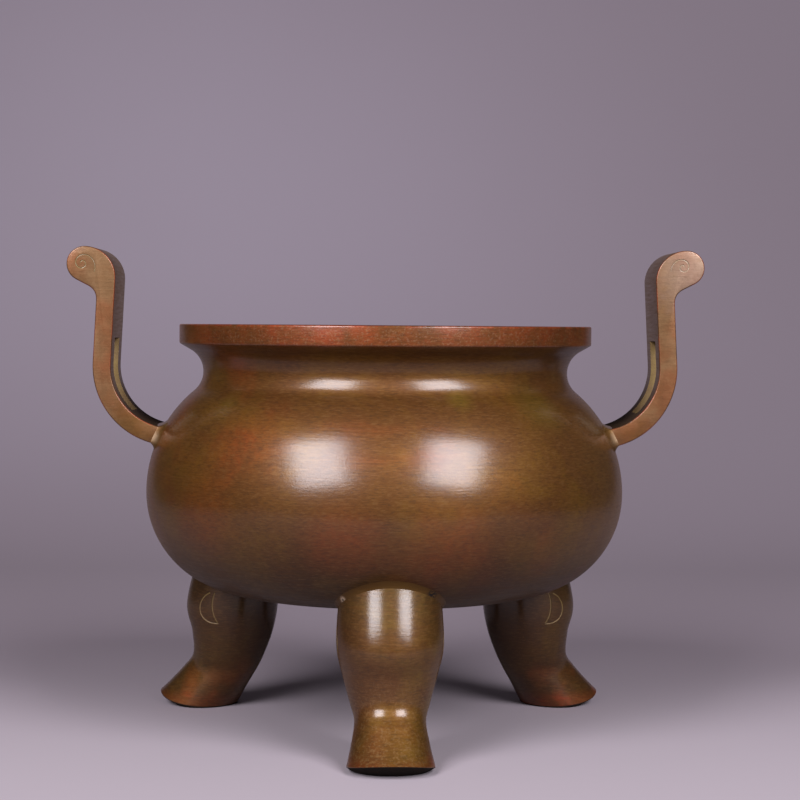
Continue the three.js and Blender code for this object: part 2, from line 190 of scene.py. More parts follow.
# Sections of a leg from the hoof's edge up, in millimetres: height, reach outward, width and depth
LEG_SECTIONS = [
    (0.4, 15.15, 29.2, 30.1),
    (8, 10.8, 26, 31.4),
    (14.6, 5.3, 23.9, 29.2),
    (20, 1.8, 26.8, 27.2),
    (29, 0.15, 31.8, 30.3),
    (40, 0.2, 36, 34),
    (60, -2.7, 33.6, 29.6),
    (65, -2.7, 33.6, 29.6),
]
UNDERSIDE_RINGS = 9  # rows of faces between the middle of the sole and the hoof's edge
LEG_GAP = 0.05 * MM  # between a leg's top and the belly
SOLE = (11.8, 26.8, 22)  # reach, width and depth of the flat patch that stands on the ground
LEGS = {"front_leg": -90, "rear_right_leg": 30, "rear_left_leg": 150}
HANDLES = {"right_handle": 0, "left_handle": 180}
# How far a strap's narrow side faces along Y at least, and its broad face at most. The arris lies between.
FLANK, BROAD_FACE = 0.98, 0.1
# The volutes were cut by eye and differ: distance of the eye from the head's end, drop below the
# bulb's middle, turn in degrees, and size
VOLUTES = {"right_handle": (7.7, -0.3, 560, 0.86), "left_handle": (5.5, -0.2, 575, 1.0)}

# The hammer's marks on a tenon's head: how deep, how close, and where in the noise that they come from
DENT_DEPTH, DENT_SCALE, DENT_PLACE = 0.05, 2.3, Vector((4, 1, 7))

# The crescent engraved on a leg's flanks, as control points: reach from the leg's middle and height
CRESCENT_OUTER = [(-1.2, 45.2), (5.2, 43.0), (6.0, 33.2), (-3.9, 33.7)]
CRESCENT_INNER = [(-3.0, 45.3), (-1.4, 41.5), (-1.8, 36.9), (-3.7, 33.9)]


# Meshes


def new_object(name, mesh):
    obj = bpy.data.objects.new(name, mesh)
    bpy.context.scene.collection.objects.link(obj)
    return obj


def drop(*objects):
    for obj in objects:
        bpy.data.objects.remove(obj)


def smooth(mesh, limit=32):
    """Outward faces, shaded smooth except over edges sharper than the limit."""
    bm = bmesh.new()
    bm.from_mesh(mesh)
    bmesh.ops.remove_doubles(bm, verts=bm.verts, dist=1e-6)
    bmesh.ops.recalc_face_normals(bm, faces=bm.faces)
    bm.to_mesh(mesh)
    bm.free()
    mesh.shade_smooth()
    mesh.set_sharp_from_angle(angle=radians(limit))


def mesh_of(name, bm):
    """A mesh of what is in a bmesh, which is then freed."""
    mesh = bpy.data.meshes.new(name)
    bm.to_mesh(mesh)
    bm.free()
    return mesh


def skin(name, rings, caps):
    """A quad skin over rings of equal length, running round, or capped at both ends."""
    bm = bmesh.new()
    rows = [[bm.verts.new(p) for p in ring] for ring in rings]
    for low, high in zip(rows, rows[1:] if caps else rows[1:] + rows[:1]):
        for i in range(len(low)):
            j = (i + 1) % len(low)
            bm.faces.new((low[i], low[j], high[j], high[i]))
    if caps:
        bm.faces.new(rows[0][::-1])
        bm.faces.new(rows[-1])
    return mesh_of(name, bm)


def lines_object(name, paths):
    """Edges along paths, for a node tree that sweeps or cuts along them."""
    mesh = bpy.data.meshes.new(name)
    points, edges = [], []
    for path in paths:
        first = len(points)
        points += path
        edges += [(first + i, first + i + 1) for i in range(len(path) - 1)]
    mesh.from_pydata(points, edges, [])
    return new_object(name, mesh)


def arc(cx, cz, radius, start, end, step=1.5):
    """Points on an arc in a section, angles in degrees."""
    count = max(2, ceil(abs(end - start) / step))
    angles = [radians(start + (end - start) * i / count) for i in range(count + 1)]
    return [(cx + radius * cos(a), cz + radius * sin(a)) for a in angles]


def bezier(points, count):
    """Points on a Bezier curve of any degree."""
    out = []
    for i in range(count + 1):
        t, level = i / count, [Vector(p) for p in points]
        while len(level) > 1:
            level = [a.lerp(b, t) for a, b in zip(level, level[1:])]
        out.append(level[0])
    return out


def crossing(low, high, is_low, steps=30):
    """Where in a range a test that holds at its low end stops holding, found by halving."""
    for _ in range(steps):
        middle = (low + high) / 2
        low, high = (middle, high) if is_low(middle) else (low, middle)
    return high


# Node trees


def add(tree, kind, settings=None, inputs=None):
    """Adds a node with its settings and inputs: values, sockets, or nodes, which give their first output."""
    made = tree.nodes.new(kind)
    for key, value in (settings or {}).items():
        setattr(made, key, value)
    for key, value in (inputs or {}).items():
        if isinstance(value, bpy.types.Node):
            value = next(out for out in value.outputs if out.enabled)
        if isinstance(value, bpy.types.NodeSocket):
            tree.links.new(value, made.inputs[key])
        else:
            made.inputs[key].default_value = value
    return made


def geometry_tree(name, sockets):
    tree = bpy.data.node_groups.new(name, "GeometryNodeTree")
    tree.interface.new_socket("Geometry", in_out="OUTPUT", socket_type="NodeSocketGeometry")
    tree.interface.new_socket("Geometry", in_out="INPUT", socket_type="NodeSocketGeometry")
    for label, kind in sockets:
        tree.interface.new_socket(label, in_out="INPUT", socket_type="NodeSocket" + kind)
    return tree, add(tree, "NodeGroupInput").outputs


def turned_tree():
    """Turns a section round an upright axis, as a bowl is turned on a wheel."""
    tree, given = geometry_tree(
        "Turned form", [("Sides", "Int"), ("Spine", "Float"), ("Material", "Material")]
    )
    section = add(tree, "GeometryNodeMeshToCurve", None, {"Mesh": given["Geometry"]})
    wheel = add(
        tree,
        "GeometryNodeCurvePrimitiveCircle",
        None,
        {"Resolution": given["Sides"], "Radius": given["Spine"]},
    )
    level = add(tree, "GeometryNodeSetCurveNormal", {"mode": "Z_UP"}, {"Curve": wheel})
    swept = add(tree, "GeometryNodeCurveToMesh", None, {"Curve": level, "Profile Curve": section})
    closed = add(tree, "GeometryNodeMergeByDistance", None, {"Geometry": swept, "Distance": POLE_MERGE})
    real = add(tree, "GeometryNodeRealizeInstances", None, {"Geometry": closed})
    faced = add(tree, "GeometryNodeSetMaterial", None, {"Geometry": real, "Material": given["Material"]})
    add(tree, "NodeGroupOutput", None, {"Geometry": faced})
    return tree


def engraved_tree():
    """Cuts round-bottomed lines, and a plain cutter, out of a solid."""
    tree, given = geometry_tree(
        "Engraved form",
        [("Lines", "Object"), ("Half width", "Float"), ("Cutter", "Object"), ("Line material", "Material")],
    )
    lines = add(tree, "GeometryNodeObjectInfo", None, {"Object": given["Lines"]})
    paths = add(tree, "GeometryNodeMeshToCurve", None, {"Mesh": lines.outputs["Geometry"]})
    tip = add(
        tree,
        "GeometryNodeCurvePrimitiveCircle",
        None,
        {"Resolution": GRAVER_SIDES, "Radius": given["Half width"]},
    )
    graver = add(
        tree, "GeometryNodeCurveToMesh", None, {"Curve": paths, "Profile Curve": tip, "Fill Caps": True}
    )
    bright = add(
        tree, "GeometryNodeSetMaterial", None, {"Geometry": graver, "Material": given["Line material"]}
    )
    cutter = add(tree, "GeometryNodeObjectInfo", None, {"Object": given["Cutter"]})
    # The exact solver gives back an empty mesh here.
    cut = add(
        tree,
        "GeometryNodeMeshBoolean",
        {"operation": "DIFFERENCE", "solver": "MANIFOLD"},
        {"Mesh 1": given["Geometry"], "Mesh 2": bright},
    )
    tree.links.new(cutter.outputs["Geometry"], cut.inputs["Mesh 2"])
    real = add(tree, "GeometryNodeRealizeInstances", None, {"Geometry": cut})
    add(tree, "NodeGroupOutput", None, {"Geometry": real})
    return tree


def by_nodes(name, source, tree, values):
    """The plain mesh that a node tree makes of a source object, which is then removed."""
    modifier = source.modifiers.new("Form", "NODES")
    modifier.node_group = tree
    for item in tree.interface.items_tree:
        if item.in_out == "INPUT" and item.name in values:
            modifier[item.identifier] = values[item.name]
    graph = bpy.context.evaluated_depsgraph_get()
    mesh = bpy.data.meshes.new_from_object(source.evaluated_get(graph))
    mesh.name = name
    drop(source)
    return mesh


# Finishes
#
# Inputs by number: Mix 0 share, 6 and 7 colours; Map Range 0 value, 1 and 2 from, 3 and 4 to; Math 0 to 2.

COLOURS = {"data_type": "RGBA"}
EASED = {"interpolation_type": "SMOOTHSTEP"}
TIMES = {"operation": "MULTIPLY", "use_clamp": True}
APART = {"operation": "DISTANCE"}

CLEAR = (1.0, 1.0, 1.0, 1.0)
AMBER = (1.0, 0.93, 0.6, 1.0)  # old wax

# Noise patterns, with the real size of what each draws
RUBBED_THIN = {"Scale": 14.0, "Detail": 4.0, "Roughness": 0.6, "Distortion": 0.4}  # 70 mm
BLOTCHES = {"Scale": 26.0, "Detail": 5.0, "Roughness": 0.62, "Distortion": 0.6}  # 40 mm
LEG_STAINS = {"Scale": 45.0, "Detail": 4.0}  # 22 mm
RIM_PATCHES = {"Scale": 60.0, "Detail": 5.0, "Roughness": 0.7}  # 17 mm
HOOF_PATCHES = {"Scale": 60.0, "Detail": 3.0}  # 17 mm
HAND_WEAR = {"Scale": 75.0, "Detail": 4.0}  # 13 mm
BAKED_CLAY = {"Scale": 90.0, "Detail": 4.0}  # 11 mm
ARRIS_WEAR = {"Scale": 130.0, "Detail": 4.0}  # 8 mm
MOTTLE = {"Scale": 240.0, "Detail": 4.0, "Roughness": 0.65}  # 4 mm
FLAKES = {"Scale": 350.0, "Detail": 4.0}  # 3 mm
BARE_GRAINS = {"Scale": 1100.0, "Detail": 2.0, "Roughness": 0.7}  # 0.9 mm
FILLER_PITS = {"Scale": 1100.0, "Detail": 2.0}  # 0.9 mm
RIM_GLINTS = {"Scale": 1250.0, "Detail": 2.0, "Roughness": 0.7}  # 0.8 mm
CAST_GRAIN = {"Scale": 1300.0, "Detail": 3.0, "Roughness": 0.7}  # 0.8 mm
SAND = {"Scale": 1600.0, "Detail": 3.0, "Roughness": 0.7}  # 0.6 mm
PAPER_TOOTH = {"Scale": 3.0, "Detail": 3.0}  # 0.3 m, and its finer steps
# The marks of cloth and wire wool are drawn out level, because these went round the vessel.
MARKS = {"Scale": 1.0, "Detail": 3.0, "Roughness": 0.6}
MARK_STRETCH = (80, 80, 1 / (0.75 * MM))  # 12.5 mm long, 0.75 mm apart
SCRATCHES = {"Scale": 1.0, "Detail": 2.0, "Roughness": 0.7}
SCRATCH_STRETCH = (420, 420, 2000)  # 2.4 mm long, 0.5 mm apart


def new_material(name, preview):
    made = bpy.data.materials.new(name)
    made.use_nodes = True
    made.node_tree.nodes.clear()
    made.diffuse_color = preview
    return made, made.node_tree


def surface(made, base, roughness, metallic, bump=None, wax=0.0, wax_roughness=0.2, shine=0.5, tint=CLEAR):
    """Ends a material in its shader, with a coat of wax if it has one."""
    tree = made.node_tree
    values = {"Base Color": base, "Metallic": metallic, "Roughness": roughness, "Specular IOR Level": shine}
    if bump is not None:
        values["Normal"] = bump
    if wax:
        values |= {"Coat Weight": wax, "Coat Roughness": wax_roughness}
        values |= {"Coat Normal": bump, "Coat Tint": tint}
    shader = add(tree, "ShaderNodeBsdfPrincipled", None, values)
    add(tree, "ShaderNodeOutputMaterial", None, {"Surface": shader})
    return made


def layered(tree, base, layers):
    """Lays hues over a base in turn. A layer is one share or more, which are multiplied, and its hue.

    A share is a number, a node, or a run: a source, the two values that it runs between, and the share at
    each of them, from none to all where it names none.
    """
    for *shares, hue in layers:
        total = None
        for share in shares:
            if isinstance(share, tuple):
                share = add(tree, "ShaderNodeMapRange", EASED, dict(enumerate(share)))
            total = share if total is None else add(tree, "ShaderNodeMath", TIMES, {0: total, 1: share})
        base = add(tree, "ShaderNodeMix", COLOURS, {0: total, 6: base, 7: hue})
    return base


def patch(tree, place, x, y, z, radius, amount, wander):
    """The share of a soft-edged patch, its edge broken up by a wandering value.

    Its middle, measured from the vessel's axis and the ground, and its radius are in millimetres.
    """
    size = radius * MM
    away = add(tree, "ShaderNodeVectorMath", APART, {0: place, 1: (x * MM, AXIS_Y + y * MM, z * MM)})
    loose = add(tree, "ShaderNodeMath", {"operation": "MULTIPLY_ADD"}, {0: wander, 1: size, 2: away})
    return add(tree, "ShaderNodeMapRange", EASED, {0: loose, 1: size * 0.6, 2: size * 1.5, 3: amount, 4: 0.0})


def cast_ground(tree):
    """What every cast and rubbed surface shares: its place, rubbing marks, blotches and mottle."""
    place = add(tree, "ShaderNodeTexCoord").outputs["Object"]
    combed = add(tree, "ShaderNodeMapping", None, {"Vector": place, "Scale": MARK_STRETCH})
    streaks = add(tree, "ShaderNodeTexNoise", None, {"Vector": combed, **MARKS})
    blotches = add(tree, "ShaderNodeTexNoise", None, {"Vector": place, **BLOTCHES})
    mottle = add(tree, "ShaderNodeTexNoise", None, {"Vector": place, **MOTTLE})
    return place, streaks, blotches, mottle


def flecked(tree, place, streaks, base, hues, amount=1.0):
    """Lays short level scratches, dark and pale, and longer rubbing marks over a base."""
    drawn = add(tree, "ShaderNodeMapping", None, {"Vector": place, "Scale": SCRATCH_STRETCH})
    fine = add(tree, "ShaderNodeTexNoise", None, {"Vector": drawn, **SCRATCHES})
    layers = [
        ((fine, 0.5, 0.68, 0.0, 0.3 * amount), hues.scale),
        ((fine, 0.32, 0.5, 0.26 * amount, 0.0), hues.tan),
        ((streaks, 0.5, 0.68, 0.0, 0.4 * amount), hues.umber),
    ]
    return layered(tree, base, layers)


def satin(tree, place, streaks, low, high, depth=0.1):
    """Roughness that varies with the rubbing marks, and the relief of marks and grain, in millimetres."""
    rough = add(tree, "ShaderNodeMapRange", None, {0: streaks, 1: 0.3, 2: 0.7, 3: low, 4: high})
    pits = add(tree, "ShaderNodeTexNoise", None, {"Vector": place, **CAST_GRAIN})
    relief = add(tree, "ShaderNodeMath", {"operation": "ADD"}, {0: streaks, 1: pits})
    bump = add(tree, "ShaderNodeBump", None, {"Strength": 0.5, "Distance": depth * MM, "Height": relief})
    return rough, bump


def patinated_copper(hues):
    """Cast copper of the bowl under waxed brown patina: satin, with redder metal where it is rubbed thin."""
    made, tree = new_material("waxed_patinated_cast_copper", hues.olive)
    place, streaks, blotches, mottle = cast_ground(tree)
    thin = add(tree, "ShaderNodeTexNoise", None, {"Vector": place, **RUBBED_THIN})
    reds = add(tree, "ShaderNodeTexNoise", None, {"Vector": place, **RIM_PATCHES})
    glints = add(tree, "ShaderNodeTexNoise", None, {"Vector": place, **RIM_GLINTS})
    x, _, height = add(tree, "ShaderNodeSeparateXYZ", None, {0: place}).outputs
    across = add(tree, "ShaderNodeMath", {"operation": "ABSOLUTE"}, {0: x})
    bowl = bpy.context.scene.burner_bowl
    top = rim_top(bowl)
    low = top - bowl.rim_height
    on_rim = (height, low - 1.2 * MM, low + 0.4 * MM)
    red = layered(tree, hues.umber, [((reds, 0.36, 0.66, 0.2, 1.0), hues.ember)])
    layers = [
        ((blotches, 0.36, 0.64), hues.olive),
        ((thin, 0.5, 0.72, 0.0, 0.75), hues.russet),
        (patch(tree, place, -48, -70, 104, 24, 0.75, blotches), hues.russet),
        (patch(tree, place, -60, -60, 84, 26, 0.5, blotches), hues.russet),
        (patch(tree, place, -14, -85, 72, 18, 0.5, blotches), hues.russet),
        # Golden-green stains lie in the neck's hollow, left and right of the middle.
        (patch(tree, place, -52, -47, 116, 9, 0.6, mottle), hues.gold),
        (patch(tree, place, 24, -66, 121, 7, 0.6, mottle), hues.gold),
        (patch(tree, place, 50, -50, 116, 15, 0.6, mottle), hues.gold),
        # Painted light: a paler patch brightens the belly's right side, and a painted shade darkens left of
        # the middle, narrowing the left highlight's glow.
        (patch(tree, place, 80, -32, 90, 42, 0.35, blotches), hues.tan),
        (patch(tree, place, -44, -74, 90, 24, 0.8, mottle), hues.umber),
        ((mottle, 0.42, 0.6, 0.3, 0.0), hues.umber),
        # Painted shade: the bowl darkens towards its underside, which faces the shaded floor.
        ((height, 52 * MM, 80 * MM, 0.56, 0.0), hues.scale),
        # The rim is handled more than the rest, so it is redder, and brightest along its upper arris.
        (on_rim, (across, 15 * MM, 62 * MM, 0.8, 0.65), (thin, 0.4, 0.6, 0.7, 1.0), red),
        ((height, top - 1.1 * MM, top - 0.2 * MM), (mottle, 0.42, 0.58), hues.ember),
        # Painted glints: pale specks on the rim stand in for the sparkle of light off its grain.
        (on_rim, (glints, 0.52, 0.66, 0.0, 0.16), hues.pale),
    ]
    base = flecked(tree, place, streaks, layered(tree, hues.umber, layers), hues)
    wax = add(tree, "ShaderNodeMapRange", EASED, {0: height, 1: 55 * MM, 2: 82 * MM, 3: 0.2, 4: 0.58})
    rough, bump = satin(tree, place, streaks, 0.55, 0.68, depth=0.045)
    return surface(made, base, rough, metallic=0.78, bump=bump, wax=wax, wax_roughness=0.22, tint=AMBER)


def hoofed_copper(hues):
    """Cast copper of the legs: a golden-olive patina, rubbed back to red copper round the hoof's edge."""
    made, tree = new_material("rubbed_patinated_cast_copper", hues.olive)
    place, streaks, blotches, mottle = cast_ground(tree)
    _, y, height = add(tree, "ShaderNodeSeparateXYZ", None, {0: place}).outputs
    behind = add(tree, "ShaderNodeMapRange", EASED, {0: y, 1: -20 * MM, 2: 10 * MM})
    stains = add(tree, "ShaderNodeTexNoise", None, {"Vector": place, **LEG_STAINS})
    patches = add(tree, "ShaderNodeTexNoise", None, {"Vector": place, **HOOF_PATCHES})
    patches = add(tree, "ShaderNodeMapRange", EASED, {0: patches, 1: 0.46, 2: 0.66})
    grains = add(tree, "ShaderNodeTexNoise", None, {"Vector": place, **BARE_GRAINS})
    layers = [
        ((blotches, 0.42, 0.68), hues.olive),
        ((stains, 0.5, 0.7, 0.0, 0.35), hues.gold),
        ((mottle, 0.42, 0.6, 0.35, 0.0), hues.umber),
        # Painted shade: the two legs behind are darkened, for the belly's shade over them.
        (behind, 0.35, hues.scale),
        # Painted shade darkens each leg's top, in the corner under the belly.
        ((height, 30 * MM, 58 * MM, 0.0, 0.5), hues.scale),
        ((height, 4 * MM, 26 * MM, 1.0, 0.0), patches, (behind, 0.0, 1.0, 0.3, 0.6), hues.russet),
        ((height, 2.5 * MM, 7.5 * MM, 1.0, 0.0), (patches, 0.1, 0.7, 0.35, 1.0), hues.ember),
        # Grains of bare metal show through, more of them towards the ground and on the leg in front.
        ((grains, 0.5, 0.62), (height, 8 * MM, 36 * MM, 0.6, 0.1), (behind, 0.0, 1.0, 1.0, 0.15), hues.tan),
    ]
    base = flecked(tree, place, streaks, layered(tree, hues.umber, layers), hues, 0.9)
    rough, bump = satin(tree, place, streaks, 0.55, 0.68, depth=0.045)
    return surface(made, base, rough, metallic=0.78, bump=bump, wax=0.58, wax_roughness=0.19, tint=AMBER)


def handled_copper(hues, name, light, dark, blend, low, high, metallic):
    """Cast copper of the handles, worn by hands: two hues blended, and roughness from low to high."""
    made, tree = new_material(name, light)
    place, streaks, _, mottle = cast_ground(tree)
    uneven = add(tree, "ShaderNodeTexNoise", None, {"Vector": place, **HAND_WEAR})
    layers = [
        ((uneven, 0.35, 0.7, 0.0, blend), dark),
        (patch(tree, place, 110, -15, 164, 20, 0.5, mottle), hues.pale),
        # Hands don't reach the roots, so the bowl's patina runs on over them, further on the left.
        (patch(tree, place, -92, -15, 105, 16, 0.7, mottle), hues.olive),
        (patch(tree, place, 90, -15, 105, 9, 0.5, mottle), hues.olive),
        ((mottle, 0.42, 0.6, 0.25, 0.0), hues.umber),
    ]
    base = flecked(tree, place, streaks, layered(tree, light, layers), hues, 0.4)
    rough, bump = satin(tree, place, streaks, low, high, depth=0.05)
    return surface(made, base, rough, metallic, bump, wax=0.4, wax_roughness=0.25)


def hand_worn_copper(hues):
    """The narrow sides of the straps and their heads: paler and pinker than the bowl."""
    return handled_copper(
        hues, "hand_worn_pale_copper", hues.tan, hues.russet, blend=0.5, low=0.45, high=0.6, metallic=0.85
    )


def engraved_copper(hues):
    """The engraved lines and the slots' inside, where the metal is paler and duller."""
    return handled_copper(
        hues, "engraved_line_copper", hues.thread, hues.gold, blend=0.7, low=0.5, high=0.65, metallic=0.25
    )


def shaded_strap_copper(hues):
    """The straps' broad faces: brown patina with a painted sheen, and painted shade, dark and dull, that is
    deepest low in the bend and fades out above it.
    """
    made, tree = new_material("patinated_strap_copper_with_painted_shade", hues.umber)
    place, streaks, blotches, _ = cast_ground(tree)
    # The pale share is a painted sheen, standing in for the backdrop's reflection on the broad faces.
    base = layered(tree, hues.umber, [((blotches, 0.36, 0.66), hues.olive), (0.35, hues.pale)])
    base = flecked(tree, place, streaks, base, hues, 0.6)
    height = add(tree, "ShaderNodeSeparateXYZ", None, {0: place}).outputs[2]
    most = 0.9
    # Painted shade: low in the bend the faces are darkened and lose their metal and shine, fading out higher
    # up.
    bend_shade = add(tree, "ShaderNodeMapRange", EASED, {0: height, 1: 108 * MM, 2: 142 * MM, 3: most, 4: 0.0})
    base = layered(tree, base, [(bend_shade, hues.scale)])
    metallic = add(tree, "ShaderNodeMapRange", None, {0: bend_shade, 1: 0.0, 2: most, 3: 0.8, 4: 0.0})
    shine = add(tree, "ShaderNodeMapRange", None, {0: bend_shade, 1: 0.0, 2: most, 3: 0.5, 4: 0.0})
    rough, bump = satin(tree, place, streaks, 0.4, 0.55)
    rough = add(tree, "ShaderNodeMath", {"operation": "MAXIMUM"}, {0: rough, 1: bend_shade})
    return surface(made, base, rough, metallic, bump, shine=shine)


def worn_arris(hues):
    """Edges that hands have rubbed back to red copper."""
    made, tree = new_material("rubbed_red_copper", hues.ember)
    place, streaks, _, _ = cast_ground(tree)
    broken = add(tree, "ShaderNodeTexNoise", None, {"Vector": place, **ARRIS_WEAR})
    base = layered(tree, hues.russet, [((broken, 0.42, 0.6), hues.umber)])
    rough, bump = satin(tree, place, streaks, 0.5, 0.6)
    return surface(made, base, rough, metallic=0.6, bump=bump, wax=0.3, wax_roughness=0.25)


def brazing_brass(hues):
    """Filler brass at the joints, filed smooth and patinated as its neighbours, with painted highlights of
    pale brass at the handle roots.
    """
    made, tree = new_material("filed_brazing_brass", hues.brass)
    place, streaks, blotches, mottle = cast_ground(tree)
    height = add(tree, "ShaderNodeSeparateXYZ", None, {0: place}).outputs[2]
    grains = add(tree, "ShaderNodeTexNoise", None, {"Vector": place, **FILLER_PITS})
    layers = [
        ((blotches, 0.36, 0.64), hues.olive),
        # Painted shade darkens the fillets round the legs' tops, in the corner under the belly.
        ((height, 60 * MM, 90 * MM, 0.35, 0.0), hues.scale),
    ]
    # At each handle root the fillet is tan, with a painted highlight of pale brass at its front corner.
    for side in (-1, 1):
        layers.append((patch(tree, place, side * 86, -13, 105, 12, 0.6, mottle), hues.tan))
        layers.append((patch(tree, place, side * 82.5, -16.1, 105.2, 3.2, 0.3, mottle), hues.brass))
    # The seam over the leg in front has a pinhole on its left and pits on its right, painted: painted shade
    # in the hole and the pits, and a painted glint on the hole's bright lip and on specks in the pits.
    pinhole = (-14.2, -69.8, 54.6)
    pitted = patch(tree, place, 14.9, -72.3, 56.8, 3.4, 1.0, mottle)
    layers += [
        (patch(tree, place, *pinhole, 1.8, 1.0, mottle), hues.brass),
        (patch(tree, place, *pinhole, 0.9, 1.0, mottle), hues.scale),
        (pitted, (grains, 0.46, 0.54), hues.scale),
        (pitted, (grains, 0.34, 0.4, 1.0, 0.0), hues.brass),
    ]
    # Wax lies thin in the corner under the belly.
    wax = add(tree, "ShaderNodeMapRange", EASED, {0: height, 1: 60 * MM, 2: 90 * MM, 3: 0.08, 4: 0.5})
    rough, bump = satin(tree, place, streaks, 0.45, 0.6)
    return surface(made, layered(tree, hues.umber, layers), rough, metallic=0.8, bump=bump, wax=wax)


def painted_hoof_shade(hues):
    """Painted shade: near-black under the hooves, where they stand in their own shadow."""
    made, tree = new_material("painted_shade_under_hooves", hues.scale)
    place = add(tree, "ShaderNodeTexCoord").outputs["Object"]
    flaky = add(tree, "ShaderNodeTexNoise", None, {"Vector": place, **FLAKES})
    base = layered(tree, hues.scale, [((flaky, 0.5, 0.75, 0.0, 0.2), hues.umber)])
    return surface(made, base, roughness=0.95, metallic=0.0, shine=0.1)


def fired_clay(hues):
    """Casting core of sandy clay, left fired and crumbly inside a leg."""
    made, tree = new_material("fired_core_clay", hues.clay)
    place = add(tree, "ShaderNodeTexCoord").outputs["Object"]
    baked = add(tree, "ShaderNodeTexNoise", None, {"Vector": place, **BAKED_CLAY})
    sand = add(tree, "ShaderNodeTexNoise", None, {"Vector": place, **SAND})
    layers = [((baked, 0.35, 0.65), hues.umber), ((sand, 0.55, 0.7, 0.0, 0.4), hues.tan)]
    bump = add(tree, "ShaderNodeBump", None, {"Strength": 0.6, "Distance": 0.2 * MM, "Height": sand})
    return surface(made, layered(tree, hues.clay, layers), roughness=0.92, metallic=0.0, bump=bump)


def backdrop_paper(settings):
    """Matt paper with painted light: a painted pool that is lightest in front, painted falloff behind the
    burner, and a trace of tooth.
    """
    made, tree = new_material("lilac_grey_paper_with_painted_light", settings.backdrop)
    place = add(tree, "ShaderNodeTexCoord").outputs["Object"]
    back = add(tree, "ShaderNodeSeparateXYZ", None, {0: place}).outputs[1]
    # Painted light: where the paper hangs, a pool of light is painted round one point, in metres.
    away = add(tree, "ShaderNodeVectorMath", APART, {0: place, 1: (-0.2, 1.1, 0.16)})
    tooth = add(tree, "ShaderNodeTexNoise", None, {"Vector": place, **PAPER_TOOTH})
    hung = layered(tree, settings.wall, [((away, 0.05, 0.6, 0.0, 0.8), settings.far)])
    layers = [
        # Painted falloff: darker behind the burner, then the painted pool on the hanging paper.
        ((back, -0.1, 0.2), settings.far),
        ((back, 0.36, 0.76), hung),
        ((tooth, 0.3, 0.7, 0.0, 0.08), settings.far),
    ]
    return surface(made, layered(tree, settings.backdrop, layers), roughness=0.9, metallic=0.0)


MAKERS = {
    "bowl": patinated_copper,
    "leg": hoofed_copper,
    "strap": shaded_strap_copper,
    "face": hand_worn_copper,
    "arris": worn_arris,
    "line": engraved_copper,
    "braze": brazing_brass,
    "scale": painted_hoof_shade,
    "clay": fired_clay,
}
FINISHES = {}


def finish_named(key):
    """The material for a key, made once."""
    if key not in FINISHES:
        FINISHES[key] = MAKERS[key](bpy.context.scene.burner_finish)
    return FINISHES[key]


def place_piece(mesh, name, nodes):
    """Places a finished piece, which stands for its nodes."""
    obj = new_object(name, mesh)
    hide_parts(*nodes)
    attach(obj, BODY)


def upright_axis(azimuth):
    """Turns a piece drawn on the +X side of the vessel to its place round the vessel's axis."""
    return Matrix.Translation((0, AXIS_Y, 0)) @ Matrix.Rotation(radians(azimuth), 4, "Z")


# Bowl


def bowl_centres(bowl):
    """The middles of the section's arcs, the base's radius, and how far the shoulder turns to the neck."""
    under = (bowl.belly_radius - bowl.under_arc, bowl.belly_height)
    shoulder = (bowl.belly_radius - bowl.shoulder_arc, bowl.belly_height)
    base_arc = bowl.under_arc + under[0] / sin(bowl.base_slope)
    base = (0.0, bowl.belly_height + (base_arc - bowl.under_arc) * cos(bowl.base_slope))
    across = bowl.neck_radius + bowl.neck_arc - shoulder[0]
    rise = sqrt((bowl.shoulder_arc + bowl.neck_arc) ** 2 - across**2)
    neck = (bowl.neck_radius + bowl.neck_arc, bowl.belly_height + rise)
    return under, shoulder, base, base_arc, neck, degrees(atan2(rise, across))


def bowl_side(bowl, offset, turn):
    """The section from the axis up to where the neck has turned outward, moved out by an offset."""
    under, shoulder, base, base_arc, neck, shoulder_turn = bowl_centres(bowl)
    slope_ = degrees(bowl.base_slope)
    points = arc(*base, base_arc + offset, -90, slope_ - 90, 0.4)
    points += arc(*under, bowl.under_arc + offset, slope_ - 90, 0)[1:]
    points += arc(*shoulder, bowl.shoulder_arc + offset, 0, shoulder_turn)[1:]
    points += arc(*neck, bowl.neck_arc - offset, shoulder_turn + 180, 180 - turn, 4)[1:]
    return points


def rim_top(bowl):
    """Height of the rim's top, where the neck's last slope runs on to the overhang."""
    last = bowl_side(bowl, 0, degrees(bowl.neck_turn))[-1]
    return last[1] + (bowl.neck_radius + bowl.rim_overhang - last[0]) / tan(bowl.neck_turn) + bowl.rim_height


def rim_section(bowl, outer, inner):
    """The rim, from under its overhang to the mouth's inner wall, with rounded arrises."""
    edge = bowl.neck_radius + bowl.rim_overhang
    top, arris = rim_top(bowl), bowl.rim_arris
    low = top - bowl.rim_height
    mouth = inner[0] + (top - arris - inner[1]) * tan(bowl.mouth_flare)
    under = Vector((outer[0], outer[1])).lerp(Vector((edge, low)), 0.9)  # where the lower arris starts
    points = [tuple(p) for p in bezier([under, (edge, low), (edge, low + 0.5 * MM)], 4)]
    step = 15
    points += arc(edge - arris, top - arris, arris, 0, 90, step)
    points += arc(mouth + arris, top - arris, arris, 90, 180 - degrees(bowl.mouth_flare), step)
    return points


def under_height(bowl, radius, offset):
    """Height of the belly's underside at a distance from the axis, moved out by an offset."""
    under, _, base, base_arc, _, _ = bowl_centres(bowl)
    centre, size = (base, base_arc) if radius < base_arc * sin(bowl.base_slope) else (under, bowl.under_arc)
    return centre[1] - sqrt((size + offset) ** 2 - (radius - centre[0]) ** 2)


